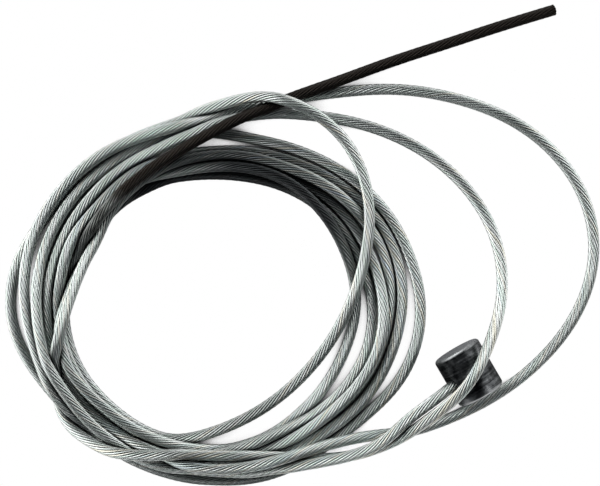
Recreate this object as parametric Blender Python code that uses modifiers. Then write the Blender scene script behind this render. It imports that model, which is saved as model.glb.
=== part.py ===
# Inner cable of a bicycle brake: one steel strand with a cast barrel nipple on one end.
# It lies on the floor in a loose, flat coil of ten turns. Metres, +Z up.

import math

import bmesh
import bpy
import numpy as np
from mathutils import Matrix, Vector

MM = 0.001

# Driving sizes, in millimetres
CABLE_DIAMETER = 1.6
NIPPLE_DIAMETER = 7.0
NIPPLE_LENGTH = 7.4
NIPPLE_EDGE_RADIUS = 0.5
SOCKET_DEPTH = 2.6
MOUTH_RADIUS = 1.55
MOUTH_DEPTH = 1.2
FIT_GAP = 0.3
LAY_GAP = 0.12

# Where the nipple lies on the floor, how it is turned, and how the strand comes out of its side
NIPPLE_X = 23.86
NIPPLE_Y = -18.3
NIPPLE_TURN = math.radians(-59.7)
STRAND_RISE = math.radians(22)
STRAND_SWING = math.radians(6.2)
STRAIGHT_EXIT = 1.5

# How finely the solids are divided
RING_SPACING = 3.2
TUBE_BEVEL_RESOLUTION = 2
NIPPLE_SIDES = 64
EDGE_SEGMENTS = 4

# How the turns settle on each other
STEP = 0.8
ROUNDS = 500
STIFF_REACH = 4.0
LEAST_STIFFNESS = 0.08
PULL_BACK = 0.025
SINK = 0.015
OWN_STRETCH = 7.0
SIDE_REACH = 0.5
LAYER_STEP = 0.35
FREE_AFTER = 8.0

# The route on the floor plan, in millimetres. The third value is the layer that a point lies in,
# in strand diameters above the floor, and it says which stretch passes over which.
ROUTE = [
    # From the nipple across the bottom and up the outer left side
    (15.6, -24.6, 2.4), (11.6, -28.1, 1.9), (7.7, -29.8, 1.3), (-0.8, -31.3, 1.0), (-9.2, -32.1, 0.7),
    (-17.6, -31.7, 0.7), (-25.7, -29.0, 1.0), (-32.4, -24.1, 2.8), (-36.8, -16.8, 2.2),
    (-39.1, -8.7, 1.0), (-38.3, -0.2, 1.0), (-34.1, 7.3, 1.1), (-27.8, 12.8, 1.1), (-20.0, 15.9, 1.1),
    (-11.8, 18.0, 0.7), (-3.5, 20.2, 0.0),
    # Out over the top and round the widest loop on the right
    (4.9, 21.5, 0.0), (13.4, 22.0, 0.0), (21.8, 20.8, 0.0), (29.7, 17.9, 0.0), (36.4, 12.9, 0.0),
    (40.9, 5.9, 0.0), (42.0, -2.5, 0.0), (39.4, -10.4, 0.0), (34.3, -16.9, 0.0), (27.5, -22.1, 0.0),
    (19.7, -25.7, 0.0), (15.6, -26.9, 0.2), (11.4, -27.3, 0.6),
    # Back along the bottom, on top of the bundle, and up the left
    (3.0, -28.8, 1.8), (-5.2, -31.0, 2.0), (-13.7, -31.7, 2.0), (-21.8, -29.4, 1.5),
    (-28.9, -24.8, 2.4), (-34.0, -18.1, 1.9), (-35.6, -9.8, 1.2), (-34.3, -1.4, 1.0),
    (-29.9, 5.8, 1.0), (-23.4, 11.2, 1.0), (-16.0, 15.5, 1.1), (-8.0, 18.4, 0.2),
    # Second loop on the right, over the nipple
    (0.4, 18.4, 0.0), (8.8, 17.0, 0.0), (16.7, 13.7, 0.0), (23.3, 8.3, 0.0), (27.5, 1.2, 0.2),
    (28.4, -7.1, 1.6), (25.9, -15.1, 4.0), (20.9, -22.4, 2.1), (18.1, -24.6, 1.5), (14.3, -27.3, 0.9),
    # Along the bottom and up the innermost left side, over the others
    (6.7, -30.3, 0.3), (-1.8, -30.5, 1.0), (-10.3, -30.0, 2.6), (-18.8, -29.8, 2.7),
    (-27.2, -28.9, 1.8), (-33.5, -23.9, 1.2), (-34.2, -15.7, 2.6), (-32.3, -7.4, 1.9),
    (-29.4, 0.5, 1.1), (-24.6, 7.8, 1.0), (-17.2, 11.6, 0.7), (-8.7, 12.2, 0.5), (-0.4, 10.2, 0.9),
    (7.0, 6.2, 0.5),
    # Third loop on the right, then the lowest strand on the left
    (12.1, -0.5, 0.3), (13.0, -8.9, 0.3), (10.9, -17.1, 0.0), (5.7, -23.7, 0.0), (-1.4, -28.5, 0.0),
    (-9.4, -31.3, 0.0), (-17.8, -31.4, 0.0), (-25.5, -28.0, 0.0), (-31.9, -22.3, 0.0),
    (-35.9, -14.9, 0.0), (-36.6, -6.5, 0.0), (-34.5, 1.7, 0.0), (-28.9, 7.9, 0.0), (-20.8, 10.4, 0.0),
    (-12.3, 10.6, 0.0), (-3.9, 9.7, 0.0),
    # Fourth loop
    (3.7, 6.0, 0.0), (9.1, -0.6, 0.1), (11.9, -8.5, 0.0), (10.4, -16.8, 0.7), (5.0, -23.3, 0.9),
    (-2.2, -27.8, 1.0), (-10.2, -30.7, 0.6), (-18.6, -30.2, 0.5), (-26.1, -26.2, 0.3),
    (-32.1, -20.2, 0.1), (-35.0, -12.3, 0.0), (-34.3, -3.9, 0.0), (-30.2, 3.5, 0.0), (-23.5, 8.6, 0.1),
    (-15.3, 10.8, 0.8), (-6.8, 10.9, 1.0),
    # Fifth loop, the smallest but one
    (0.6, 7.1, 0.6), (5.9, 0.4, 0.0), (8.0, -7.8, 0.0), (6.1, -16.1, 0.0), (1.4, -23.2, 0.0),
    (-5.5, -28.3, 0.2), (-14.1, -30.4, 1.0), (-22.0, -27.4, 1.8), (-28.8, -22.3, 1.8),
    (-34.0, -15.6, 1.2), (-33.5, -7.4, 1.0), (-30.1, 0.5, 0.0), (-24.6, 7.2, 0.0), (-16.5, 10.4, 0.1),
    (-7.7, 10.3, 0.3),
    # Sixth loop
    (0.5, 7.4, 0.0), (6.6, 1.6, 0.2), (10.0, -6.1, 0.1), (9.9, -14.6, 0.1), (6.0, -21.9, 0.4),
    (-1.0, -26.7, 1.3), (-9.0, -29.7, 1.6), (-17.5, -30.0, 1.2), (-25.0, -25.9, 1.0),
    (-31.1, -20.1, 0.8), (-34.3, -12.3, 0.6), (-33.7, -3.8, 0.8), (-29.9, 3.7, 0.9), (-23.7, 9.5, 0.7),
    (-15.8, 12.5, 0.8), (-7.3, 13.1, 0.8),
    # Seventh loop
    (0.9, 11.1, 1.3), (8.0, 6.4, 1.0), (13.0, -0.4, 0.3), (14.4, -8.7, 0.0), (12.2, -16.9, 0.0),
    (7.3, -23.8, 0.2), (0.2, -28.5, 1.0), (-7.8, -31.2, 1.3), (-16.3, -31.5, 1.5), (-24.4, -29.1, 1.7),
    (-31.0, -23.9, 3.2), (-35.5, -16.7, 3.2), (-37.3, -8.4, 1.3), (-36.0, -0.1, 1.0),
    (-31.6, 7.2, 1.0), (-25.1, 12.6, 1.0), (-17.3, 15.8, 0.2), (-8.9, 15.3, 0.1),
    # Eighth loop, down the right
    (-0.6, 13.1, 0.5), (7.0, 9.3, 0.2), (12.7, 3.1, 0.0), (16.5, -4.5, 0.0), (17.0, -12.9, 0.0),
    (13.5, -20.6, 0.2), (7.2, -26.3, 1.0), (0.3, -31.2, 0.2),
    # Lowest along the bottom and outermost on the left, then over the top
    (-7.9, -33.8, 0.0), (-16.3, -32.9, 0.0), (-24.1, -30.0, 0.0), (-31.1, -25.3, 0.0),
    (-37.2, -19.2, 0.0), (-41.1, -11.6, 0.0), (-40.5, -3.1, 0.0), (-36.2, 4.1, 0.0),
    (-30.8, 10.6, 0.0), (-23.4, 14.7, 0.0), (-15.5, 17.5, 0.7), (-7.4, 20.5, 2.3), (0.9, 19.0, 1.9),
    (7.2, 13.4, 1.5), (9.8, 5.4, 2.0), (9.0, -3.0, 1.4),
    # Last loop, then the free end out to the upper right
    (6.1, -11.0, 0.2), (1.4, -17.9, 0.0), (-5.0, -23.5, 0.0), (-12.7, -27.2, 0.0), (-21.4, -28.3, 0.0),
    (-28.6, -23.6, 0.0), (-33.3, -16.2, 0.1), (-34.1, -7.7, 0.3), (-30.7, 0.3, 1.3), (-25.4, 6.9, 2.0),
    (-18.6, 12.0, 2.0), (-11.2, 16.3, 1.5), (-3.5, 19.8, 1.1), (4.5, 22.7, 1.0), (12.5, 25.7, 0.1),
    (20.6, 28.4, 0.0), (28.6, 31.0, 0.0), (36.8, 33.5, 0.0),
]


def smooth_curve(points, spacing):
    """Natural cubic curve through the points, read at even steps, with the layer as a fourth value."""
    along = np.r_[0, np.cumsum(np.linalg.norm(np.diff(points[:, :2], axis=0), axis=1))]
    gap = np.diff(along)
    system = np.eye(len(points))
    load = np.zeros(points.shape)
    for i in range(1, len(points) - 1):
        system[i, i - 1:i + 2] = gap[i - 1], 2 * (gap[i - 1] + gap[i]), gap[i]
        load[i] = 6 * ((points[i + 1] - points[i]) / gap[i] - (points[i] - points[i - 1]) / gap[i - 1])
    bend = np.linalg.solve(system, load)
    place = np.linspace(0, along[-1], 1 + round(along[-1] / spacing))
    k = np.clip(np.searchsorted(along, place, side="right") - 1, 0, len(gap) - 1)
    span = gap[k][:, None]
    before = (place - along[k])[:, None]
    after = span - before
    curve = (bend[k] * after ** 3 + bend[k + 1] * before ** 3) / (6 * span)
    curve += (points[k] / span - bend[k] * span / 6) * after
    curve += (points[k + 1] / span - bend[k + 1] * span / 6) * before
    return curve, np.interp(place, along, points[:, 2])


def nipple_frame():
    """Centre of the barrel, the direction of its axis, and the way in which the strand leaves it."""
    centre = np.array([NIPPLE_X, NIPPLE_Y, NIPPLE_DIAMETER / 2])
    axis = np.array([math.cos(NIPPLE_TURN), math.sin(NIPPLE_TURN), 0])
    across = np.array([axis[1], -axis[0], 0])
    flat = across * math.cos(STRAND_SWING) + axis * math.sin(STRAND_SWING)
    leaving = flat * math.cos(STRAND_RISE) + np.array([0, 0, math.sin(STRAND_RISE)])
    return centre, axis, leaving


def blur(values, reach):
    """Running average along the strand."""
    half = max(1, round(reach / STEP))
    weight = np.cos(np.linspace(-math.pi / 2, math.pi / 2, 2 * half + 3)[1:-1])
    weight /= weight.sum()
    padded = np.pad(values, ((half, half), (0, 0)), mode="edge")
    return np.stack([np.convolve(column, weight, mode="valid") for column in padded.T], axis=1)


def touching_pairs(plan, layer):
    """Points of different turns that lie near each other in plan, the upper ones first."""
    skip = round(OWN_STRETCH / STEP)
    reach = CABLE_DIAMETER + LAY_GAP + SIDE_REACH
    upper, lower = [], []
    for i in range(len(plan) - skip):
        j = i + skip + np.flatnonzero(np.hypot(*(plan[i + skip:] - plan[i]).T) < reach)
        over = layer[j] > layer[i]
        upper.append(np.where(over, j, i))
        lower.append(np.where(over, i, j))
    return np.concatenate(upper), np.concatenate(lower)


def least_height(points, high):
    """The floor, or the top of the barrel where a high point passes over it."""
    centre, axis, leaving = nipple_frame()
    reach = (NIPPLE_DIAMETER + CABLE_DIAMETER) / 2 + FIT_GAP
    out = points[:, :2] - centre[:2]
    beside = np.abs(out @ np.array([axis[1], -axis[0]]))
    along = np.abs(out @ axis[:2])
    on_top = high & (beside < reach) & (along < (NIPPLE_LENGTH + CABLE_DIAMETER) / 2 + FIT_GAP)
    rise = centre[2] + np.sqrt(np.clip(reach ** 2 - beside ** 2, 0, None))
    return np.where(on_top, rise, CABLE_DIAMETER / 2)


def settle(start, layer):
    """Lets the turns sink onto the floor and onto each other, and keeps each above what it crosses."""
    spread = CABLE_DIAMETER + LAY_GAP
    place = np.arange(len(start)) * STEP
    free = np.clip((place - SOCKET_DEPTH - STRAIGHT_EXIT) / FREE_AFTER, 0, 1)[:, None]
    free = free * free * (3 - 2 * free)
    high = (place > OWN_STRETCH) & (layer > 1)
    upper, lower = touching_pairs(start[:, :2], layer)
    ordered = layer[upper] - layer[lower] > LAYER_STEP
    met = np.sqrt(np.bincount(np.r_[upper, lower], minlength=len(start)).clip(1))[:, None]
    home = start * (1, 1, 0)
    points = start
    for turn in range(ROUNDS):
        apart = points[upper] - points[lower]
        flat = np.hypot(apart[:, 0], apart[:, 1])
        length = np.linalg.norm(apart, axis=1)
        push = apart / length[:, None] * (np.clip(spread - length, 0, None) / 2)[:, None]
        crossing = ordered & (flat < spread * 0.55)
        climb = np.sqrt(np.clip(spread ** 2 - flat ** 2, 0, None)) - apart[:, 2]
        push[crossing] = 0
        push[crossing, 2] = np.clip(climb[crossing], 0, None) / 2
        shift = np.zeros(points.shape)
        np.add.at(shift, upper, push)
        np.add.at(shift, lower, -push)
        ease = max(LEAST_STIFFNESS, 1 - turn / (ROUNDS * 0.8))
        moved = points + shift / met - home
        moved += (blur(moved, STIFF_REACH) - moved) * ease
        moved[:, :2] *= 1 - PULL_BACK
        moved[:, 2] -= SINK * ease
        fresh = home + moved
        fresh[:, 2] = np.maximum(fresh[:, 2], least_height(fresh, high))
        points = start + (fresh - start) * free
    return points


def strand_line():
    """Middle line of the whole strand, from its seat in the nipple to the free end."""
    centre, axis, leaving = nipple_frame()
    out = [NIPPLE_DIAMETER / 2 - SOCKET_DEPTH, NIPPLE_DIAMETER / 2, NIPPLE_DIAMETER / 2 + STRAIGHT_EXIT]
    start = [centre + leaving * distance for distance in out]
    route = np.array(ROUTE)
    route[:, 2] = CABLE_DIAMETER * (route[:, 2] + 0.5)
    curve, height = smooth_curve(np.vstack([start, route]), STEP)
    return settle(curve, height / CABLE_DIAMETER - 0.5)


def middle_of(line):
    """Middle of the floor that the coil covers, which becomes the origin."""
    return np.append((line[:, :2].min(axis=0) + line[:, :2].max(axis=0)) / 2, 0)


def material(name, colour, roughness):
    shade = bpy.data.materials.new(name)
    shade.use_nodes = True
    surface = shade.node_tree.nodes["Principled BSDF"]
    surface.inputs["Base Color"].default_value = (*colour, 1)
    surface.inputs["Metallic"].default_value = 1.0
    surface.inputs["Roughness"].default_value = roughness
    return shade


def make_strand(line, collection):
    """One tube with closed ends along the strand's middle line."""
    rings = line[np.linspace(0, len(line) - 1, 1 + round(len(line) * STEP / RING_SPACING)).astype(int)]
    data = bpy.data.curves.new("cable_strand", "CURVE")
    data.dimensions = "3D"
    data.bevel_depth = CABLE_DIAMETER / 2 * MM
    data.bevel_resolution = TUBE_BEVEL_RESOLUTION
    data.use_fill_caps = True
    spline = data.splines.new("POLY")
    spline.points.add(len(rings) - 1)
    for point, place in zip(spline.points, rings * MM):
        point.co = (*place, 1)
    spline.use_smooth = True
    strand = bpy.data.objects.new("cable_strand", data)
    data.materials.append(material("galvanised_steel", (0.42, 0.42, 0.40), 0.38))
    collection.objects.link(strand)


def body_of(name, shape, collection):
    """Object made from a finished shape, smooth round its sides."""
    for face in shape.faces:
        face.smooth = len(face.verts) == 4
    mesh = bpy.data.meshes.new(name)
    shape.to_mesh(mesh)
    shape.free()
    body = bpy.data.objects.new(name, mesh)
    collection.objects.link(body)
    return body


def socket_cutter(collection):
    """Bore for the strand's end with its flared mouth, about its own Z axis, from its origin downward."""
    bore_radius = CABLE_DIAMETER / 2 + FIT_GAP
    floor = -SOCKET_DEPTH - FIT_GAP
    outline = [(0, floor), (bore_radius, floor), (bore_radius, -MOUTH_DEPTH),
               (2 * MOUTH_RADIUS - bore_radius, MOUTH_DEPTH), (0, MOUTH_DEPTH)]
    shape = bmesh.new()
    corners = [shape.verts.new((radius * MM, 0, height * MM)) for radius, height in outline]
    edges = [shape.edges.new(pair) for pair in zip(corners, corners[1:])]
    bmesh.ops.spin(shape, geom=corners + edges, cent=(0, 0, 0), axis=(0, 0, 1),
                   angle=2 * math.pi, steps=NIPPLE_SIDES // 2, use_merge=True)
    bmesh.ops.remove_doubles(shape, verts=shape.verts, dist=1e-7)
    bmesh.ops.recalc_face_normals(shape, faces=shape.faces)
    return body_of("nipple_socket", shape, collection)


def lay(body, place, direction):
    """Puts the body at a place with its own Z axis in a direction."""
    turn = Vector((0, 0, 1)).rotation_difference(Vector(direction.tolist())).to_matrix().to_4x4()
    body.matrix_world = Matrix.Translation(Vector((place * MM).tolist())) @ turn


def make_nipple(middle, collection, cutters):
    """Cast barrel on its side, with a blind socket for the strand's end that widens at its mouth."""
    centre, axis, leaving = nipple_frame()
    shape = bmesh.new()
    bmesh.ops.create_cone(shape, cap_ends=True, segments=NIPPLE_SIDES, radius1=NIPPLE_DIAMETER / 2 * MM,
                          radius2=NIPPLE_DIAMETER / 2 * MM, depth=NIPPLE_LENGTH * MM)
    barrel = body_of("nipple", shape, collection)
    lay(barrel, centre - middle, axis)
    barrel.data.materials.append(material("cast_zinc", (0.10, 0.10, 0.095), 0.45))
    rounding = barrel.modifiers.new("rounded_edges", "BEVEL")
    rounding.width = NIPPLE_EDGE_RADIUS * MM
    rounding.segments = EDGE_SEGMENTS
    rounding.limit_method = "ANGLE"
    rounding.angle_limit = math.radians(60)
    socket = socket_cutter(cutters)
    lay(socket, centre + leaving * NIPPLE_DIAMETER / 2 - middle, leaving)
    socket.display_type = "WIRE"
    socket.hide_render = True
    cut = barrel.modifiers.new("socket", "BOOLEAN")
    cut.operation = "DIFFERENCE"
    cut.solver = "EXACT"
    cut.object = socket


def build():
    for item in list(bpy.data.objects):
        bpy.data.objects.remove(item, do_unlink=True)
    collection = bpy.data.collections.new("inner_cable")
    cutters = bpy.data.collections.new("cutters")
    bpy.context.scene.collection.children.link(collection)
    bpy.context.scene.collection.children.link(cutters)
    line = strand_line()
    middle = middle_of(line)
    make_strand(line - middle, collection)
    make_nipple(middle, collection, cutters)


build()
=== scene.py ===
import math

import bmesh
import bpy
import numpy as np
from mathutils import Matrix, Vector


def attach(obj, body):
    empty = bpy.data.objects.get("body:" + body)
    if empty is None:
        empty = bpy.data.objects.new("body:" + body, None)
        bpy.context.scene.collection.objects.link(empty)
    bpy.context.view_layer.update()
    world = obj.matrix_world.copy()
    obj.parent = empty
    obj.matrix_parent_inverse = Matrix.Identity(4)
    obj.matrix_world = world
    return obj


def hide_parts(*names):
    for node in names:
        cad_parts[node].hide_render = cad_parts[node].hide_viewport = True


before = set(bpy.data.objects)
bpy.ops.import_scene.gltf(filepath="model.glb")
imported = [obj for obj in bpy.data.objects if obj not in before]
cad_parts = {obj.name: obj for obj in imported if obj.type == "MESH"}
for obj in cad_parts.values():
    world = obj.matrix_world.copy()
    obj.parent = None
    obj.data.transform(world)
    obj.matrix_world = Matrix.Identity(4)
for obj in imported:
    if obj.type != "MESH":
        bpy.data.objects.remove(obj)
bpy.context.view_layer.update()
mm = 0.001
mergeWithin = 1e-7

# the photograph was taken from straight above the coil
cameraSet = {
    "height": 225.0,
    "frameWidth": 86.2,      # floor that the picture's width shows
    "sensor": 36,
    "clipStart": 0.01,
}

# the steel strand: twelve outer wires round a core
strand = {
    "diameter": 1.6,
    "wire": 0.32,
    "outerWires": 12,
    "layLength": 13.0,       # one turn of a wire round the strand
    "ringStep": 0.8,
    "grooveShare": 0.68,     # depth of the grooves, as a share of those between round wires
    "contactReach": 0.7,     # how far the painted shadow reaches where turns touch
    "wireColumns": 4,        # columns of the skin on each outer wire
    "ringSmoothing": 1.6,
    "steadyRings": 6,        # rings at the socket that the smoothing leaves alone
    "uvLength": 20,          # strand for one unit of the texture's second coordinate
    "sharpGroove": 0.99,     # edges that lie deeper than this share of the groove are sharp
    "socketDepth": 2.6,
    "straightExit": 1.5,
    "rise": math.radians(22),
    "swing": math.radians(6.2),
}

# the cut wires at the bare end
wireEnds = {
    "layers": ((1, 0), (6, 1), (12, 2)),     # wires in a layer, and wire widths from the core
    "spread": 0.98,
    "proud": 0.05,          # how far a wire stands out on average
    "uneven": 0.06,         # how much that differs from wire to wire
    "unevenStep": 7.3,
    "depth": 0.5,
    "sides": 12,
    "groove": 0.25,         # how much painted groove shade they get, as a share of the groove's depth
}

# the cast barrel on the strand's first end
barrel = {
    "diameter": 7.0,
    "length": 7.4,
    "x": 23.86,
    "y": -18.3,
    "turn": math.radians(-59.7),
    "edge": 0.5,
    "gap": 0.3,
    "mouthRadius": 1.55,
    "mouthDepth": 1.2,
    "turnSteps": 128,
    "edgeSegments": 6,
    "sharpAngle": math.radians(40),
}

# how the turns of the coil settle on each other
coil = {
    "gap": 0.12,
    "rounds": 500,
    "stiffReach": 4.0,
    "leastStiffness": 0.08,
    "pullBack": 0.025,
    "sink": 0.015,
    "ownStretch": 7.0,
    "sideReach": 0.5,
    "layerStep": 0.35,
    "freeAfter": 8.0,
    "crossShare": 0.55,      # turns nearer than this share of their spacing count as crossing
    "easeShare": 0.8,        # share of the rounds over which the stiffness falls
}

# The route on the floor plan in mm, and the layer that each point lies in. These points aren't chosen
# by hand and no loop makes the turns: other programs fitted them to the strand's edges in the photo.
# part.py holds the same list.
route = [
    # From the nipple across the bottom and up the outer left side
    (15.6, -24.6, 2.4), (11.6, -28.1, 1.9), (7.7, -29.8, 1.3), (-0.8, -31.3, 1.0), (-9.2, -32.1, 0.7),
    (-17.6, -31.7, 0.7), (-25.7, -29.0, 1.0), (-32.4, -24.1, 2.8), (-36.8, -16.8, 2.2),
    (-39.1, -8.7, 1.0), (-38.3, -0.2, 1.0), (-34.1, 7.3, 1.1), (-27.8, 12.8, 1.1), (-20.0, 15.9, 1.1),
    (-11.8, 18.0, 0.7), (-3.5, 20.2, 0.0),
    # Out over the top and round the widest loop on the right
    (4.9, 21.5, 0.0), (13.4, 22.0, 0.0), (21.8, 20.8, 0.0), (29.7, 17.9, 0.0), (36.4, 12.9, 0.0),
    (40.9, 5.9, 0.0), (42.0, -2.5, 0.0), (39.4, -10.4, 0.0), (34.3, -16.9, 0.0), (27.5, -22.1, 0.0),
    (19.7, -25.7, 0.0), (15.6, -26.9, 0.2), (11.4, -27.3, 0.6),
    # Back along the bottom, on top of the bundle, and up the left
    (3.0, -28.8, 1.8), (-5.2, -31.0, 2.0), (-13.7, -31.7, 2.0), (-21.8, -29.4, 1.5),
    (-28.9, -24.8, 2.4), (-34.0, -18.1, 1.9), (-35.6, -9.8, 1.2), (-34.3, -1.4, 1.0),
    (-29.9, 5.8, 1.0), (-23.4, 11.2, 1.0), (-16.0, 15.5, 1.1), (-8.0, 18.4, 0.2),
    # Second loop on the right, over the nipple
    (0.4, 18.4, 0.0), (8.8, 17.0, 0.0), (16.7, 13.7, 0.0), (23.3, 8.3, 0.0), (27.5, 1.2, 0.2),
    (28.4, -7.1, 1.6), (25.9, -15.1, 4.0), (20.9, -22.4, 2.1), (18.1, -24.6, 1.5), (14.3, -27.3, 0.9),
    # Along the bottom and up the innermost left side, over the others
    (6.7, -30.3, 0.3), (-1.8, -30.5, 1.0), (-10.3, -30.0, 2.6), (-18.8, -29.8, 2.7),
    (-27.2, -28.9, 1.8), (-33.5, -23.9, 1.2), (-34.2, -15.7, 2.6), (-32.3, -7.4, 1.9),
    (-29.4, 0.5, 1.1), (-24.6, 7.8, 1.0), (-17.2, 11.6, 0.7), (-8.7, 12.2, 0.5), (-0.4, 10.2, 0.9),
    (7.0, 6.2, 0.5),
    # Third loop on the right, then the lowest strand on the left
    (12.1, -0.5, 0.3), (13.0, -8.9, 0.3), (10.9, -17.1, 0.0), (5.7, -23.7, 0.0), (-1.4, -28.5, 0.0),
    (-9.4, -31.3, 0.0), (-17.8, -31.4, 0.0), (-25.5, -28.0, 0.0), (-31.9, -22.3, 0.0),
    (-35.9, -14.9, 0.0), (-36.6, -6.5, 0.0), (-34.5, 1.7, 0.0), (-28.9, 7.9, 0.0), (-20.8, 10.4, 0.0),
    (-12.3, 10.6, 0.0), (-3.9, 9.7, 0.0),
    # Fourth loop
    (3.7, 6.0, 0.0), (9.1, -0.6, 0.1), (11.9, -8.5, 0.0), (10.4, -16.8, 0.7), (5.0, -23.3, 0.9),
    (-2.2, -27.8, 1.0), (-10.2, -30.7, 0.6), (-18.6, -30.2, 0.5), (-26.1, -26.2, 0.3),
    (-32.1, -20.2, 0.1), (-35.0, -12.3, 0.0), (-34.3, -3.9, 0.0), (-30.2, 3.5, 0.0), (-23.5, 8.6, 0.1),
    (-15.3, 10.8, 0.8), (-6.8, 10.9, 1.0),
    # Fifth loop
    (0.6, 7.1, 0.6), (5.9, 0.4, 0.0), (8.0, -7.8, 0.0), (6.1, -16.1, 0.0), (1.4, -23.2, 0.0),
    (-5.5, -28.3, 0.2), (-14.1, -30.4, 1.0), (-22.0, -27.4, 1.8), (-28.8, -22.3, 1.8),
    (-34.0, -15.6, 1.2), (-33.5, -7.4, 1.0), (-30.1, 0.5, 0.0), (-24.6, 7.2, 0.0), (-16.5, 10.4, 0.1),
    (-7.7, 10.3, 0.3),
    # Sixth loop
    (0.5, 7.4, 0.0), (6.6, 1.6, 0.2), (10.0, -6.1, 0.1), (9.9, -14.6, 0.1), (6.0, -21.9, 0.4),
    (-1.0, -26.7, 1.3), (-9.0, -29.7, 1.6), (-17.5, -30.0, 1.2), (-25.0, -25.9, 1.0),
    (-31.1, -20.1, 0.8), (-34.3, -12.3, 0.6), (-33.7, -3.8, 0.8), (-29.9, 3.7, 0.9), (-23.7, 9.5, 0.7),
    (-15.8, 12.5, 0.8), (-7.3, 13.1, 0.8),
    # Seventh loop
    (0.9, 11.1, 1.3), (8.0, 6.4, 1.0), (13.0, -0.4, 0.3), (14.4, -8.7, 0.0), (12.2, -16.9, 0.0),
    (7.3, -23.8, 0.2), (0.2, -28.5, 1.0), (-7.8, -31.2, 1.3), (-16.3, -31.5, 1.5), (-24.4, -29.1, 1.7),
    (-31.0, -23.9, 3.2), (-35.5, -16.7, 3.2), (-37.3, -8.4, 1.3), (-36.0, -0.1, 1.0),
    (-31.6, 7.2, 1.0), (-25.1, 12.6, 1.0), (-17.3, 15.8, 0.2), (-8.9, 15.3, 0.1),
    # Eighth loop, down the right
    (-0.6, 13.1, 0.5), (7.0, 9.3, 0.2), (12.7, 3.1, 0.0), (16.5, -4.5, 0.0), (17.0, -12.9, 0.0),
    (13.5, -20.6, 0.2), (7.2, -26.3, 1.0), (0.3, -31.2, 0.2),
    # Lowest along the bottom and outermost on the left, then over the top
    (-7.9, -33.8, 0.0), (-16.3, -32.9, 0.0), (-24.1, -30.0, 0.0), (-31.1, -25.3, 0.0),
    (-37.2, -19.2, 0.0), (-41.1, -11.6, 0.0), (-40.5, -3.1, 0.0), (-36.2, 4.1, 0.0),
    (-30.8, 10.6, 0.0), (-23.4, 14.7, 0.0), (-15.5, 17.5, 0.7), (-7.4, 20.5, 2.3), (0.9, 19.0, 1.9),
    (7.2, 13.4, 1.5), (9.8, 5.4, 2.0), (9.0, -3.0, 1.4),
    # Last loop, then the free end out to the upper right
    (6.1, -11.0, 0.2), (1.4, -17.9, 0.0), (-5.0, -23.5, 0.0), (-12.7, -27.2, 0.0), (-21.4, -28.3, 0.0),
    (-28.6, -23.6, 0.0), (-33.3, -16.2, 0.1), (-34.1, -7.7, 0.3), (-30.7, 0.3, 1.3), (-25.4, 6.9, 2.0),
    (-18.6, 12.0, 2.0), (-11.2, 16.3, 1.5), (-3.5, 19.8, 1.1), (4.5, 22.7, 1.0), (12.5, 25.7, 0.1),
    (20.6, 28.4, 0.0), (28.6, 31.0, 0.0), (36.8, 33.5, 0.0),
]


def barrelFrame():
    centre = np.array([barrel["x"], barrel["y"], barrel["diameter"] / 2])
    axis = np.array([math.cos(barrel["turn"]), math.sin(barrel["turn"]), 0])
    across = np.array([axis[1], -axis[0], 0])
    flat = across * math.cos(strand["swing"]) + axis * math.sin(strand["swing"])
    leaving = flat * math.cos(strand["rise"]) + np.array([0, 0, math.sin(strand["rise"])])
    return centre, axis, leaving


def smoothCurve(points, spacing):
    # natural cubic curve through the points, read at even steps of the distance between them
    along = np.r_[0, np.cumsum(np.linalg.norm(np.diff(points[:, :2], axis=0), axis=1))]
    gap = np.diff(along)
    system = np.eye(len(points))
    load = np.zeros(points.shape)
    for i in range(1, len(points) - 1):
        system[i, i - 1:i + 2] = gap[i - 1], 2 * (gap[i - 1] + gap[i]), gap[i]
        load[i] = 6 * ((points[i + 1] - points[i]) / gap[i] - (points[i] - points[i - 1]) / gap[i - 1])
    bend = np.linalg.solve(system, load)
    place = np.linspace(0, along[-1], 1 + round(along[-1] / spacing))
    k = np.clip(np.searchsorted(along, place, side="right") - 1, 0, len(gap) - 1)
    span = gap[k][:, None]
    before = (place - along[k])[:, None]
    after = span - before
    curve = (bend[k] * after ** 3 + bend[k + 1] * before ** 3) / (6 * span)
    curve += (points[k] / span - bend[k] * span / 6) * after
    curve += (points[k + 1] / span - bend[k + 1] * span / 6) * before
    return curve, np.interp(place, along, points[:, 2])


def blur(values, reach):
    half = max(1, round(reach / strand["ringStep"]))
    weight = np.cos(np.linspace(-math.pi / 2, math.pi / 2, 2 * half + 3)[1:-1])
    weight /= weight.sum()
    padded = np.pad(values, ((half, half), (0, 0)), mode="edge")
    return np.stack([np.convolve(column, weight, mode="valid") for column in padded.T], axis=1)


def touchingPairs(plan, layer):
    # points of different turns that lie near each other, the upper ones first
    skip = round(coil["ownStretch"] / strand["ringStep"])
    reach = strand["diameter"] + coil["gap"] + coil["sideReach"]
    upper, lower = [], []
    for i in range(len(plan) - skip):
        j = i + skip + np.flatnonzero(np.hypot(*(plan[i + skip:] - plan[i]).T) < reach)
        over = layer[j] > layer[i]
        upper.append(np.where(over, j, i))
        lower.append(np.where(over, i, j))
    return np.concatenate(upper), np.concatenate(lower)


def leastHeight(points, high):
    # the floor, or the top of the barrel where a high point passes over it
    centre, axis, leaving = barrelFrame()
    reach = (barrel["diameter"] + strand["diameter"]) / 2 + barrel["gap"]
    out = points[:, :2] - centre[:2]
    beside = np.abs(out @ np.array([axis[1], -axis[0]]))
    along = np.abs(out @ axis[:2])
    nearEnd = (barrel["length"] + strand["diameter"]) / 2 + barrel["gap"]
    onTop = high & (beside < reach) & (along < nearEnd)
    rise = centre[2] + np.sqrt(np.clip(reach ** 2 - beside ** 2, 0, None))
    return np.where(onTop, rise, strand["diameter"] / 2)


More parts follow.
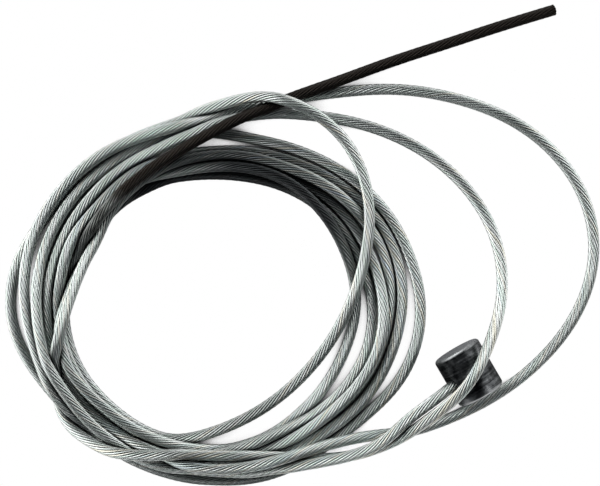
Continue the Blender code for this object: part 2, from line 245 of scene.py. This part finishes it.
def settle(start, layer):
    # The turns sink onto the floor and each other and are pushed apart, the upper layer upwards.
    # They don't come quite clear: some still overlap, by 0.22 mm at the worst place.
    spread = strand["diameter"] + coil["gap"]
    place = np.arange(len(start)) * strand["ringStep"]
    free = (place - strand["socketDepth"] - strand["straightExit"]) / coil["freeAfter"]
    free = np.clip(free, 0, 1)[:, None]
    free = free * free * (3 - 2 * free)
    high = (place > coil["ownStretch"]) & (layer > 1)
    upper, lower = touchingPairs(start[:, :2], layer)
    ordered = layer[upper] - layer[lower] > coil["layerStep"]
    met = np.sqrt(np.bincount(np.r_[upper, lower], minlength=len(start)).clip(1))[:, None]
    home = start * (1, 1, 0)
    points = start
    for turn in range(coil["rounds"]):
        apart = points[upper] - points[lower]
        flat = np.hypot(apart[:, 0], apart[:, 1])
        length = np.linalg.norm(apart, axis=1)
        push = apart / length[:, None] * (np.clip(spread - length, 0, None) / 2)[:, None]
        crossing = ordered & (flat < spread * coil["crossShare"])
        climb = np.sqrt(np.clip(spread ** 2 - flat ** 2, 0, None)) - apart[:, 2]
        push[crossing] = 0
        push[crossing, 2] = np.clip(climb[crossing], 0, None) / 2
        shift = np.zeros(points.shape)
        np.add.at(shift, upper, push)
        np.add.at(shift, lower, -push)
        ease = max(coil["leastStiffness"], 1 - turn / (coil["rounds"] * coil["easeShare"]))
        moved = points + shift / met - home
        moved += (blur(moved, coil["stiffReach"]) - moved) * ease
        moved[:, :2] *= 1 - coil["pullBack"]
        moved[:, 2] -= coil["sink"] * ease
        fresh = home + moved
        fresh[:, 2] = np.maximum(fresh[:, 2], leastHeight(fresh, high))
        points = start + (fresh - start) * free
    return points


def strandLine():
    centre, axis, leaving = barrelFrame()
    radius = barrel["diameter"] / 2
    out = [radius - strand["socketDepth"], radius, radius + strand["straightExit"]]
    start = [centre + leaving * distance for distance in out]
    points = np.array(route)
    points[:, 2] = strand["diameter"] * (points[:, 2] + 0.5)
    curve, height = smoothCurve(np.vstack([start, points]), strand["ringStep"])
    return settle(curve, height / strand["diameter"] - 0.5)


def wireProfile(columns):
    # radius of the strand's skin at each column of one wire, from groove to groove, as round wires make it
    pitch = (strand["diameter"] - strand["wire"]) / 2
    half = math.pi / strand["outerWires"]
    angle = np.linspace(-half, half, columns + 1)[:-1]
    inside = (strand["wire"] / 2) ** 2 - (pitch * np.sin(angle)) ** 2
    radius = pitch * np.cos(angle) + np.sqrt(np.clip(inside, 0, None))
    return radius.max() - (radius.max() - radius) * strand["grooveShare"]


def ringFrames(line):
    # a sideways and an upward direction at each ring, carried along without twist
    along = np.gradient(line, axis=0)
    along /= np.linalg.norm(along, axis=1)[:, None]
    side = np.zeros(line.shape)
    side[0] = np.cross(along[0], (0, 0, 1))
    for i in range(1, len(line)):
        side[i] = side[i - 1] - along[i] * (side[i - 1] @ along[i])
        side[i] /= np.linalg.norm(side[i])
    side[0] /= np.linalg.norm(side[0])
    return along, side, np.cross(along, side)


def contactOf(place, ring, rings, along):
    # how near each point of the skin comes to another turn, from 0, clear of it, to 1, on it; the wire's
    # colour uses it for painted shadow where turns touch
    skip = round(coil["ownStretch"] / strand["ringStep"])
    number = np.arange(len(rings))
    near = np.zeros(len(place))
    order = np.argsort(ring, kind="stable")
    for i, members in enumerate(np.split(order, np.cumsum(np.bincount(ring))[:-1])):
        close = np.linalg.norm(rings - rings[i], axis=1) < 2 * strand["diameter"]
        others = np.flatnonzero(close & (np.abs(number - i) > skip))
        if len(others):
            out = place[members][:, None] - rings[others]
            lead = np.abs((out * along[others]).sum(axis=2))
            beyond = np.clip(lead - strand["ringStep"] / 2, 0, None)
            apart = np.sqrt((out ** 2).sum(axis=2) - lead ** 2 + beyond ** 2).min(axis=1)
            gap = apart - strand["diameter"] / 2
            near[members] = np.clip(1 - gap / strand["contactReach"], 0, 1)
    return near


def buildStrand(line):
    rings = blur(line, strand["ringSmoothing"])
    rings[:strand["steadyRings"]] = line[:strand["steadyRings"]]
    profile = np.tile(wireProfile(strand["wireColumns"]), strand["outerWires"])
    count = len(profile)
    along, side, up = ringFrames(rings)
    travelled = np.r_[0, np.cumsum(np.linalg.norm(np.diff(rings, axis=0), axis=1))]
    mesh = bmesh.new()
    bmesh.ops.create_grid(mesh, x_segments=count, y_segments=len(rings) - 1, size=1)
    mesh.verts.ensure_lookup_table()
    across = np.array([v.co[:] for v in mesh.verts])
    column = np.rint((across[:, 0] + 1) / 2 * count).astype(int)
    ring = np.rint((across[:, 1] + 1) / 2 * (len(rings) - 1)).astype(int)
    turn = column / count * 2 * math.pi - travelled[ring] / strand["layLength"] * 2 * math.pi
    radius = profile[column % count]
    outward = side[ring] * np.cos(turn)[:, None] + up[ring] * np.sin(turn)[:, None]
    place = rings[ring] + outward * radius[:, None]
    groove = mesh.verts.layers.float.new("groove")
    reach = mesh.verts.layers.float.new("reach")
    contact = mesh.verts.layers.float.new("contact")
    depth = (profile.max() - profile) / (profile.max() - profile.min())
    near = contactOf(place, ring, rings, along)
    for v, spot, c, r, n in zip(mesh.verts, place * mm, column, ring, near):
        v.co = spot
        v[contact] = n
        v[groove] = depth[c % count]
        v[reach] = travelled[r] * mm
    around = mesh.loops.layers.uv.new("strandUv")
    for face in mesh.faces:
        for loop in face.loops:
            k = loop.vert.index
            loop[around].uv = (column[k] / count, travelled[ring[k]] / strand["uvLength"])
    bmesh.ops.remove_doubles(mesh, verts=mesh.verts, dist=mergeWithin)
    ends = [e for e in mesh.edges if e.is_boundary]
    bmesh.ops.holes_fill(mesh, edges=ends, sides=0)
    bmesh.ops.recalc_face_normals(mesh, faces=mesh.faces)
    for face in mesh.faces:
        face.smooth = len(face.verts) == 4
    for edge in mesh.edges:
        edge.smooth = min(v[groove] for v in edge.verts) < strand["sharpGroove"]
    data = bpy.data.meshes.new("steelStrand")
    mesh.to_mesh(data)
    mesh.free()
    piece = bpy.data.objects.new("steelStrand", data)
    bpy.context.scene.collection.objects.link(piece)
    return piece, rings


def addWireEnds(piece, rings):
    # the bare end shows the core, six wires and twelve wires, cut off square
    along, side, up = ringFrames(rings)
    mesh = bmesh.new()
    mesh.from_mesh(piece.data)
    reach = mesh.verts.layers.float["reach"]
    groove = mesh.verts.layers.float["groove"]
    farthest = max(v[reach] for v in mesh.verts)
    twist = -farthest / mm / strand["layLength"] * 2 * math.pi
    for count, widths in wireEnds["layers"]:
        for n in range(count):
            angle = twist + 2 * math.pi * n / count
            proud = wireEnds["proud"] + wireEnds["uneven"] * math.sin(wireEnds["unevenStep"] * n + count)
            outward = side[-1] * math.cos(angle) + up[-1] * math.sin(angle)
            place = rings[-1] + outward * (widths * strand["wire"]) * wireEnds["spread"]
            place = place + along[-1] * (proud - wireEnds["depth"] / 2)
            stand = Matrix(np.column_stack([side[-1], up[-1], along[-1]]).tolist()).to_4x4()
            made = bmesh.ops.create_cone(
                mesh, cap_ends=True, segments=wireEnds["sides"], radius1=strand["wire"] / 2 * mm,
                radius2=strand["wire"] / 2 * mm, depth=wireEnds["depth"] * mm,
                matrix=Matrix.Translation(Vector((place * mm).tolist())) @ stand)
            for v in made["verts"]:
                v[reach] = farthest
                v[groove] = wireEnds["groove"]
    mesh.to_mesh(piece.data)
    mesh.free()


def newMaterial(name):
    shade = bpy.data.materials.new(name)
    shade.use_nodes = True
    nodes = shade.node_tree.nodes
    return shade, nodes, shade.node_tree.links, nodes["Principled BSDF"]


def ramp(nodes, stops):
    node = nodes.new("ShaderNodeValToRGB")
    while len(node.color_ramp.elements) < len(stops):
        node.color_ramp.elements.new(0.5)
    for element, (place, colour) in zip(node.color_ramp.elements, stops):
        element.position = place
        element.color = (*colour, 1) if isinstance(colour, tuple) else (colour, colour, colour, 1)
    return node


def noise(nodes, scale, detail, roughness=0.5):
    node = nodes.new("ShaderNodeTexNoise")
    node.inputs["Scale"].default_value = scale
    node.inputs["Detail"].default_value = detail
    node.inputs["Roughness"].default_value = roughness
    return node


def mixColour(nodes, links, blend, factor, a, b):
    node = nodes.new("ShaderNodeMix")
    node.data_type = "RGBA"
    node.blend_type = blend
    for socket, value in ((node.inputs["Factor"], factor), (node.inputs["A"], a), (node.inputs["B"], b)):
        for found in [s for s in node.inputs if s.name == socket.name and s.enabled]:
            socket = found
        if isinstance(value, (int, float)):
            socket.default_value = value
        elif isinstance(value, tuple):
            socket.default_value = (*value, 1)
        else:
            links.new(value, socket)
    return next(s for s in node.outputs if s.enabled)


def maths(nodes, links, operation, *values):
    node = nodes.new("ShaderNodeMath")
    node.operation = operation
    for socket, value in zip(node.inputs, values):
        if isinstance(value, (int, float)):
            socket.default_value = value
        else:
            links.new(value, socket)
    return node.outputs[0]


# Galvanised wire: grey with faint tints and brown on the last stretch, with painted shade in the lay's
# grooves.
# The darker stretches are painted shade on turns that lie low in the bundle, and the darkening where turns
# touch is painted shadow; both are placed and set to match the photo's tones.
steelFinish = {
    "bright": (0.75, 0.78, 0.78),
    "tints": ((0.64, 0.72, 0.66), (0.80, 0.78, 0.66), (0.66, 0.73, 0.80)),
    # painted shade in the lay's grooves
    "groove": (0.050, 0.052, 0.052),
    # painted shadow in the gaps where turns touch
    "contactShadow": (0.004, 0.004, 0.005),
    "brown": (0.024, 0.020, 0.017),
    "brownFrom": 1.488,
    "brownOver": 0.030,
    # painted shade on stretches that lie low in the bundle, under other turns
    "stretchShade": (0.012, 0.013, 0.017),
    # from, to, how dark the painted shade is
    "shadedStretches": ((0.485, 0.535, 0.80), (0.640, 0.695, 0.93), (0.785, 0.840, 0.93), (0.895, 0.965, 0.95),
              (1.035, 1.100, 0.6), (1.205, 1.235, 0.5), (1.270, 1.330, 0.5), (1.435, 1.470, 0.3)),
    "roughness": 0.31,
    "smoother": 0.08,
    "rougher": 0.14,
    "wireStreaks": (12.0, 0.12, 1.0),
    "drawnLines": (160.0, 0.6, 1.0),
    "cloudScale": 90.0,
    "patchScale": 260.0,
    "patchShare": 0.8,
    "bumpStrength": 0.35,
    "bumpDepth": 0.00003,
}


def steelMaterial():
    shade, nodes, links, surface = newMaterial("galvanisedWire")
    surface.inputs["Metallic"].default_value = 1.0
    around = nodes.new("ShaderNodeUVMap")
    around.uv_map = "strandUv"
    stretch = nodes.new("ShaderNodeMapping")
    stretch.inputs["Scale"].default_value = steelFinish["wireStreaks"]
    links.new(around.outputs["UV"], stretch.inputs["Vector"])
    wireNoise = noise(nodes, 1.0, 2.0)
    links.new(stretch.outputs["Vector"], wireNoise.inputs["Vector"])
    place = nodes.new("ShaderNodeTexCoord")
    cloud = noise(nodes, steelFinish["cloudScale"], 2.0)
    links.new(place.outputs["Object"], cloud.inputs["Vector"])
    warm, cool, blue = steelFinish["tints"]
    tint = ramp(nodes, [(0.30, cool), (0.45, steelFinish["bright"]), (0.60, warm), (0.75, blue)])
    links.new(wireNoise.outputs["Fac"], tint.inputs["Fac"])
    level = ramp(nodes, [(0.35, 0.72), (0.65, 1.0)])
    links.new(cloud.outputs["Fac"], level.inputs["Fac"])
    colour = mixColour(nodes, links, "MULTIPLY", 1.0, tint.outputs["Color"], level.outputs["Color"])

    # painted shade in the lay's grooves, darkest at the groove's bottom
    groove = nodes.new("ShaderNodeAttribute")
    groove.attribute_name = "groove"
    deep = ramp(nodes, [(0.45, 0.0), (1.0, 1.0)])
    links.new(groove.outputs["Fac"], deep.inputs["Fac"])
    reach = nodes.new("ShaderNodeAttribute")
    reach.attribute_name = "reach"
    patch = noise(nodes, steelFinish["patchScale"], 3.0)
    links.new(place.outputs["Object"], patch.inputs["Vector"])
    # painted shade on the stretches that lie low in the bundle
    for begin, finish, amount in steelFinish["shadedStretches"]:
        band = ramp(nodes, [(0.0, 0.0), (0.35, amount), (0.65, amount), (1.0, 0.0)])
        within = maths(nodes, links, "SUBTRACT", reach.outputs["Fac"], begin)
        links.new(maths(nodes, links, "DIVIDE", within, finish - begin), band.inputs["Fac"])
        colour = mixColour(nodes, links, "MIX", band.outputs["Color"], colour, steelFinish["stretchShade"])
    start = maths(nodes, links, "SUBTRACT", reach.outputs["Fac"], steelFinish["brownFrom"])
    start = maths(nodes, links, "DIVIDE", start, steelFinish["brownOver"])
    rough = maths(nodes, links, "SUBTRACT", patch.outputs["Fac"], 0.5)
    brown = nodes.new("ShaderNodeClamp")
    ragged = maths(nodes, links, "MULTIPLY", rough, steelFinish["patchShare"])
    links.new(maths(nodes, links, "ADD", start, ragged), brown.inputs["Value"])
    colour = mixColour(nodes, links, "MIX", brown.outputs["Result"], colour, steelFinish["brown"])
    colour = mixColour(nodes, links, "MIX", deep.outputs["Color"], colour, steelFinish["groove"])
    # painted shadow where turns touch
    contact = nodes.new("ShaderNodeAttribute")
    contact.attribute_name = "contact"
    contactShadowMask = ramp(nodes, [(0.28, 0.0), (0.88, 0.96)])
    links.new(contact.outputs["Fac"], contactShadowMask.inputs["Fac"])
    colour = mixColour(nodes, links, "MIX", contactShadowMask.outputs["Color"], colour, steelFinish["contactShadow"])
    links.new(colour, surface.inputs["Base Color"])

    drawn = nodes.new("ShaderNodeMapping")
    drawn.inputs["Scale"].default_value = steelFinish["drawnLines"]
    links.new(around.outputs["UV"], drawn.inputs["Vector"])
    drawnNoise = noise(nodes, 1.0, 3.0)
    links.new(drawn.outputs["Vector"], drawnNoise.inputs["Vector"])
    dull = nodes.new("ShaderNodeMapRange")
    dull.inputs["To Min"].default_value = steelFinish["roughness"] - steelFinish["smoother"]
    dull.inputs["To Max"].default_value = steelFinish["roughness"] + steelFinish["rougher"]
    links.new(drawnNoise.outputs["Fac"], dull.inputs["Value"])
    links.new(dull.outputs["Result"], surface.inputs["Roughness"])
    bump = nodes.new("ShaderNodeBump")
    bump.inputs["Strength"].default_value = steelFinish["bumpStrength"]
    bump.inputs["Distance"].default_value = steelFinish["bumpDepth"]
    links.new(drawnNoise.outputs["Fac"], bump.inputs["Height"])
    links.new(bump.outputs["Normal"], surface.inputs["Normal"])
    return shade


def turnTo(direction):
    return Vector((0, 0, 1)).rotation_difference(Vector(direction.tolist())).to_matrix().to_4x4()


def turned(name, outline):
    # one object turned about Z from radius and height pairs
    mesh = bmesh.new()
    corners = [mesh.verts.new((radius * mm, 0, height * mm)) for radius, height in outline]
    edges = [mesh.edges.new(pair) for pair in zip(corners, corners[1:])]
    bmesh.ops.spin(mesh, geom=corners + edges, cent=(0, 0, 0), axis=(0, 0, 1),
                   angle=2 * math.pi, steps=barrel["turnSteps"], use_merge=True)
    bmesh.ops.remove_doubles(mesh, verts=mesh.verts, dist=mergeWithin)
    bmesh.ops.recalc_face_normals(mesh, faces=mesh.faces)
    data = bpy.data.meshes.new(name)
    mesh.to_mesh(data)
    mesh.free()
    piece = bpy.data.objects.new(name, data)
    bpy.context.scene.collection.objects.link(piece)
    return piece


def buildBarrel(middle):
    # a cast barrel on its side, with a blind socket that the strand comes out of
    centre, axis, leaving = barrelFrame()
    radius = barrel["diameter"] / 2
    half = barrel["length"] / 2
    body = turned("castBarrel", [(0, -half), (radius, -half), (radius, half), (0, half)])
    mesh = bmesh.new()
    mesh.from_mesh(body.data)
    rims = [e for e in mesh.edges if e.calc_face_angle(0) > 1]
    bmesh.ops.bevel(mesh, geom=rims, offset=barrel["edge"] * mm, offset_type="OFFSET",
                    segments=barrel["edgeSegments"], affect="EDGES", profile=0.5, material=-1,
                    clamp_overlap=True)
    mesh.to_mesh(body.data)
    mesh.free()
    body.data.transform(Matrix.Translation(Vector(((centre - middle) * mm).tolist())) @ turnTo(axis))

    bore = strand["diameter"] / 2 + barrel["gap"]
    floor = -strand["socketDepth"] - barrel["gap"]
    flare = 2 * barrel["mouthRadius"] - bore
    deep = barrel["mouthDepth"]
    cutter = turned("socketCutter", [(0, floor), (bore, floor), (bore, -deep), (flare, deep), (0, deep)])
    rim = Vector(((centre - middle + leaving * radius) * mm).tolist())
    cutter.data.transform(Matrix.Translation(rim) @ turnTo(leaving))
    cut = body.modifiers.new("socket", "BOOLEAN")
    cut.operation = "DIFFERENCE"
    cut.solver = "EXACT"
    cut.object = cutter
    evaluated = body.evaluated_get(bpy.context.evaluated_depsgraph_get())
    shape = bpy.data.meshes.new_from_object(evaluated)
    bpy.data.objects.remove(cutter)
    body.modifiers.clear()
    body.data = shape
    for face in shape.polygons:
        face.use_smooth = True
    shape.set_sharp_from_angle(angle=barrel["sharpAngle"])
    ends = shape.attributes.new("endFace", "FLOAT", "POINT")
    for value, v in zip(ends.data, shape.vertices):
        reach = abs(np.dot(np.array(v.co) / mm - (centre - middle), axis))
        value.value = min(1, max(0, (reach - half + barrel["edge"]) / barrel["edge"]))
    return body


# the barrel's dark casting skin, and painted light on its end faces
castFinish = {
    "dark": (0.010, 0.011, 0.012),
    "mid": (0.085, 0.089, 0.092),
    "pale": (0.34, 0.35, 0.36),
    "cut": (0.70, 0.72, 0.73),      # painted light on the end faces, paler than the casting skin
    "roughness": 0.34,
    "smoother": 0.12,
    "rougher": 0.16,
    "blotchScale": 420.0,
    "blotchShare": 0.62,
    "ringSize": (1 / 2400, 1 / 180, 1 / 180),
    "ringShare": 0.38,
    "grainScale": 3200.0,
    "grainStrength": 0.4,
    "grainDepth": 0.00004,
    "dentScale": 700.0,
    "dentStrength": 0.5,
    "dentDepth": 0.00012,
}


def castMaterial():
    shade, nodes, links, surface = newMaterial("darkCasting")
    surface.inputs["Metallic"].default_value = 1.0
    place = nodes.new("ShaderNodeTexCoord")
    blotch = noise(nodes, castFinish["blotchScale"], 4.0, 0.6)
    links.new(place.outputs["Object"], blotch.inputs["Vector"])
    # fine rings round the barrel, as it was turned
    turn = nodes.new("ShaderNodeMapping")
    turn.vector_type = "TEXTURE"
    turn.inputs["Rotation"].default_value = (0, 0, barrel["turn"])
    turn.inputs["Scale"].default_value = castFinish["ringSize"]
    links.new(place.outputs["Object"], turn.inputs["Vector"])
    rings = noise(nodes, 1.0, 3.0, 0.6)
    links.new(turn.outputs["Vector"], rings.inputs["Vector"])
    blotched = maths(nodes, links, "MULTIPLY", blotch.outputs["Fac"], castFinish["blotchShare"])
    ringed = maths(nodes, links, "MULTIPLY", rings.outputs["Fac"], castFinish["ringShare"])
    both = maths(nodes, links, "ADD", blotched, ringed)
    tones = [(0.40, castFinish["dark"]), (0.52, castFinish["mid"]), (0.66, castFinish["pale"])]
    colour = ramp(nodes, tones)
    links.new(both, colour.inputs["Fac"])
    # painted light on both end faces, mottled by the blotches
    ends = nodes.new("ShaderNodeAttribute")
    ends.attribute_name = "endFace"
    endLight = maths(nodes, links, "MULTIPLY", ends.outputs["Fac"], maths(nodes, links, "ADD", both, 0.25))
    litEnds = mixColour(nodes, links, "MIX", endLight, colour.outputs["Color"], castFinish["cut"])
    links.new(litEnds, surface.inputs["Base Color"])
    grain = noise(nodes, castFinish["grainScale"], 3.0, 0.6)
    links.new(place.outputs["Object"], grain.inputs["Vector"])
    dull = nodes.new("ShaderNodeMapRange")
    dull.inputs["To Min"].default_value = castFinish["roughness"] - castFinish["smoother"]
    dull.inputs["To Max"].default_value = castFinish["roughness"] + castFinish["rougher"]
    links.new(grain.outputs["Fac"], dull.inputs["Value"])
    links.new(dull.outputs["Result"], surface.inputs["Roughness"])
    dents = noise(nodes, castFinish["dentScale"], 3.0)
    links.new(place.outputs["Object"], dents.inputs["Vector"])
    bump = nodes.new("ShaderNodeBump")
    bump.inputs["Strength"].default_value = castFinish["dentStrength"]
    bump.inputs["Distance"].default_value = castFinish["dentDepth"]
    links.new(dents.outputs["Fac"], bump.inputs["Height"])
    fine = nodes.new("ShaderNodeBump")
    fine.inputs["Strength"].default_value = castFinish["grainStrength"]
    fine.inputs["Distance"].default_value = castFinish["grainDepth"]
    links.new(grain.outputs["Fac"], fine.inputs["Height"])
    links.new(bump.outputs["Normal"], fine.inputs["Normal"])
    links.new(fine.outputs["Normal"], surface.inputs["Normal"])
    return shade


# soft boxes at the left, the right and the back of a dim room, dark overhead where the camera looks in
studio = {
    "backdrop": [(0, 0), (2400, 0), (2700, 60), (2900, 180), (3000, 340), (3000, 540)],
    "floorColour": (0.24, 0.24, 0.25),
    "floorGlow": 1.0,
    "floorRoughness": 0.9,
    "shadeReach": 0.0035,
    "mirrorReach": 0.015,
    "shadeStops": (0.18, 0.44),
    "mirrorStops": (0.85, 1.0),     # set to match the photo's tones
    "wallColour": (0.16, 0.17, 0.18),
    "ceilingColour": (0.05, 0.055, 0.06),
    "softBoxes": {           # place, width, height, power
        "leftBox": ((-0.54, 0.25, 0.38), 1.0, 0.7, 5.2),
        "rightBox": ((0.54, 0.24, 0.34), 0.8, 0.6, 3.0),
        "backBox": ((-0.20, 0.62, 0.28), 0.5, 0.4, 0.9),
    },
}


def floorMaterial():
    # white to the camera and in reflections, and darker where the strands shade it
    shade, nodes, links, surface = newMaterial("paleFloor")
    surface.inputs["Base Color"].default_value = (*studio["floorColour"], 1)
    surface.inputs["Roughness"].default_value = studio["floorRoughness"]
    surface.inputs["Specular IOR Level"].default_value = 0.0
    rays = nodes.new("ShaderNodeLightPath")
    shaded = nodes.new("ShaderNodeAmbientOcclusion")
    shaded.samples = 16
    shaded.inputs["Distance"].default_value = studio["shadeReach"]
    seen = ramp(nodes, list(zip(studio["shadeStops"], (0.0, studio["floorGlow"]))))
    links.new(shaded.outputs["AO"], seen.inputs["Fac"])
    wider = nodes.new("ShaderNodeAmbientOcclusion")
    wider.samples = 8
    wider.inputs["Distance"].default_value = studio["mirrorReach"]
    mirrored = ramp(nodes, list(zip(studio["mirrorStops"], (0.0, studio["floorGlow"]))))
    links.new(wider.outputs["AO"], mirrored.inputs["Fac"])
    direct = maths(nodes, links, "MULTIPLY", rays.outputs["Is Camera Ray"], seen.outputs["Color"])
    glossy, through = rays.outputs["Is Glossy Ray"], rays.outputs["Is Transmission Ray"]
    other = maths(nodes, links, "MAXIMUM", glossy, through)
    other = maths(nodes, links, "MULTIPLY", other, mirrored.outputs["Color"])
    glow = nodes.new("ShaderNodeEmission")
    mix = nodes.new("ShaderNodeMixShader")
    links.new(maths(nodes, links, "MAXIMUM", direct, other), mix.inputs["Fac"])
    links.new(surface.outputs["BSDF"], mix.inputs[1])
    links.new(glow.outputs["Emission"], mix.inputs[2])
    links.new(mix.outputs["Shader"], nodes["Material Output"].inputs["Surface"])
    return shade


def buildStudio(middle):
    floor = turned("paleFloor", studio["backdrop"])
    floor.data.flip_normals()
    floor.data.materials.append(floorMaterial())

    scene = bpy.context.scene
    scene.world = bpy.data.worlds.new("lightTent")
    scene.world.use_nodes = True
    nodes, links = scene.world.node_tree.nodes, scene.world.node_tree.links
    way = nodes.new("ShaderNodeTexCoord")
    split = nodes.new("ShaderNodeSeparateXYZ")
    links.new(way.outputs["Generated"], split.inputs["Vector"])
    tent = ramp(nodes, [(0.14, studio["wallColour"]), (0.40, studio["ceilingColour"])])
    links.new(split.outputs["Z"], tent.inputs["Fac"])
    links.new(tent.outputs["Color"], nodes["Background"].inputs["Color"])

    for name, (place, width, height, power) in studio["softBoxes"].items():
        box = bpy.data.lights.new(name, "AREA")
        box.shape = "RECTANGLE"
        box.size, box.size_y = width, height
        box.energy = power
        lamp = bpy.data.objects.new(name, box)
        lamp.location = place
        lamp.rotation_euler = (-Vector(place)).to_track_quat("-Z", "Y").to_euler()
        lamp.visible_camera = False
        scene.collection.objects.link(lamp)

    eye = bpy.data.cameras.new("camera")
    eye.sensor_width = cameraSet["sensor"]
    eye.lens = cameraSet["sensor"] * cameraSet["height"] / cameraSet["frameWidth"]
    eye.clip_start = cameraSet["clipStart"]
    camera = bpy.data.objects.new("camera", eye)
    camera.location = (-middle[0] * mm, -middle[1] * mm, cameraSet["height"] * mm)
    scene.collection.objects.link(camera)
    scene.camera = camera
    scene.view_settings.view_transform = "Standard"


line = strandLine()
middle = np.append((line[:, :2].min(axis=0) + line[:, :2].max(axis=0)) / 2, 0)
line = line - middle
print("settled the coil:", len(line), "points")

cable, path = buildStrand(line)
addWireEnds(cable, path)
cable.data.materials.append(steelMaterial())
print("made the strand:", len(cable.data.polygons), "faces")

nipple = buildBarrel(middle)
nipple.data.materials.append(castMaterial())
print("made the barrel:", len(nipple.data.polygons), "faces")

buildStudio(middle)
print("set the floor, the light and the camera")

centre, axis, leaving = barrelFrame()
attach(cable, "root")
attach(nipple, "root")
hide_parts("cable_strand")
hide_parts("nipple")
